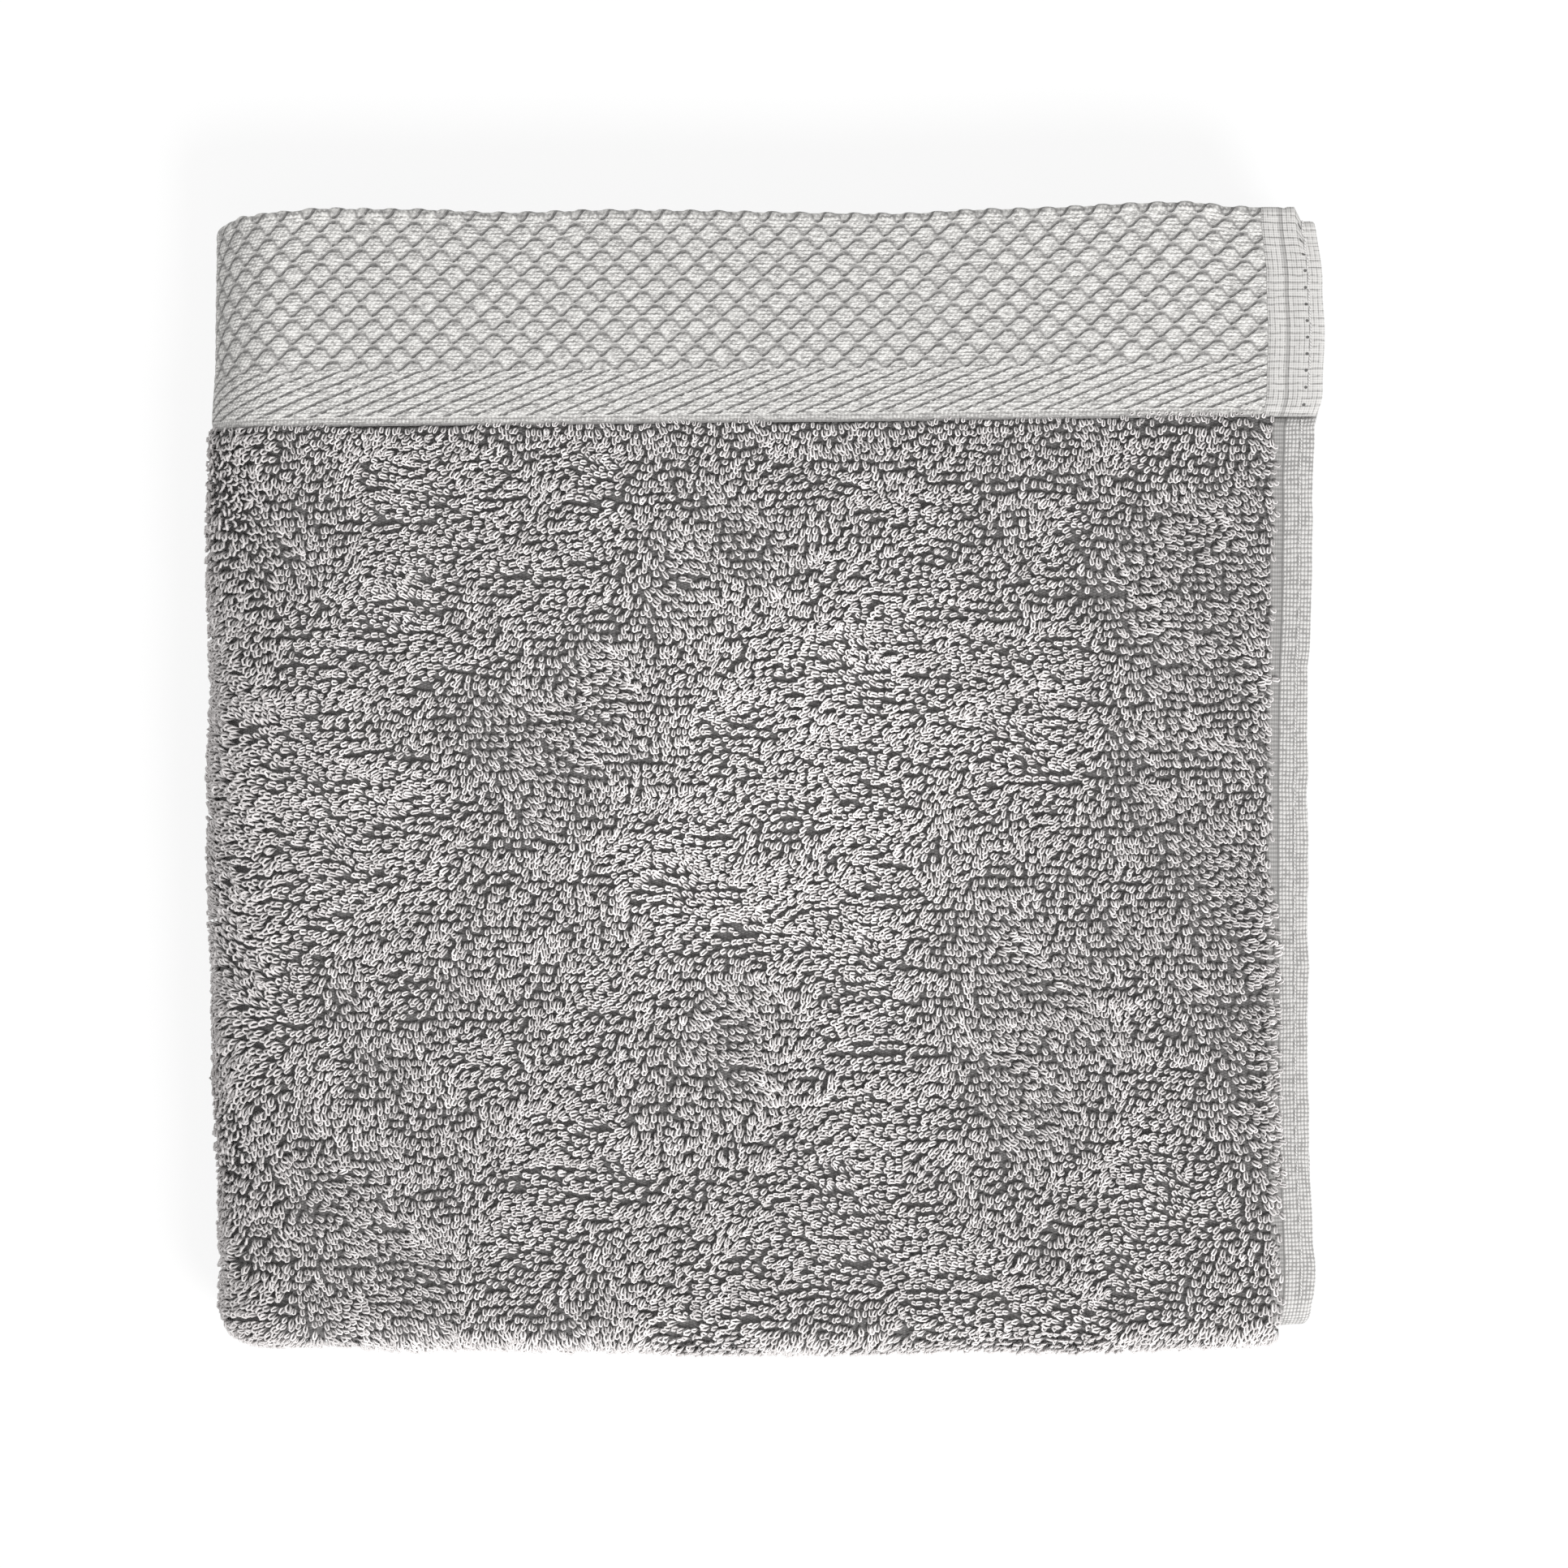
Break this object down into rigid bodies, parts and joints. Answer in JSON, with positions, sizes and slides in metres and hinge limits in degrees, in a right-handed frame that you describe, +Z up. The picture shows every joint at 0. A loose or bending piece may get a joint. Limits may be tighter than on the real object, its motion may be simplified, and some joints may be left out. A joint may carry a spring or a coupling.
{
  "type": "folded terry towel",
  "caption": "Soft terry towel folded into a square stack, with a woven scale-pattern border turned over one edge, hemmed selvedges and a last fold that opens like a book.",
  "frame": {"origin": "middle of the underside of the folded towel, on the surface it rests on", "axes": "+X from the last fold towards the selvedges, +Y towards the edge with the woven border, +Z up through the stack"},
  "size_m": [0.25, 0.26, 0.036],
  "materials": {
    "terry_cloth": "grey looped cotton terry, twisted yarn loops on both faces",
    "border_weave": "lighter grey flat woven border with raised scales and a diagonal twill stripe",
    "hem_weave": "light grey plain woven hem, folded and sewn",
    "sewing_thread": "light grey spun sewing thread"
  },
  "bodies": {
    "lower_half": {"lower_terry": "terry_cloth", "lower_border": "border_weave", "lower_end_hem": "hem_weave", "lower_end_stitching": "sewing_thread", "lower_inner_border": "border_weave", "lower_inner_end_hem": "hem_weave", "lower_inner_end_stitching": "sewing_thread", "lower_side_hem": "hem_weave", "lower_side_stitching": "sewing_thread"},
    "upper_half": {"upper_terry": "terry_cloth", "upper_border": "border_weave", "upper_end_hem": "hem_weave", "upper_end_stitching": "sewing_thread", "upper_inner_border": "border_weave", "upper_inner_end_hem": "hem_weave", "upper_inner_end_stitching": "sewing_thread", "upper_side_hem": "hem_weave", "upper_side_stitching": "sewing_thread"}
  },
  "joints": [
    {"name": "last_fold", "type": "hinge", "parent": "lower_half", "child": "upper_half", "pos_m": [-0.1253, 0, 0.018], "axis": [0, -1, 0], "range_deg": [0, 180]}
  ]
}
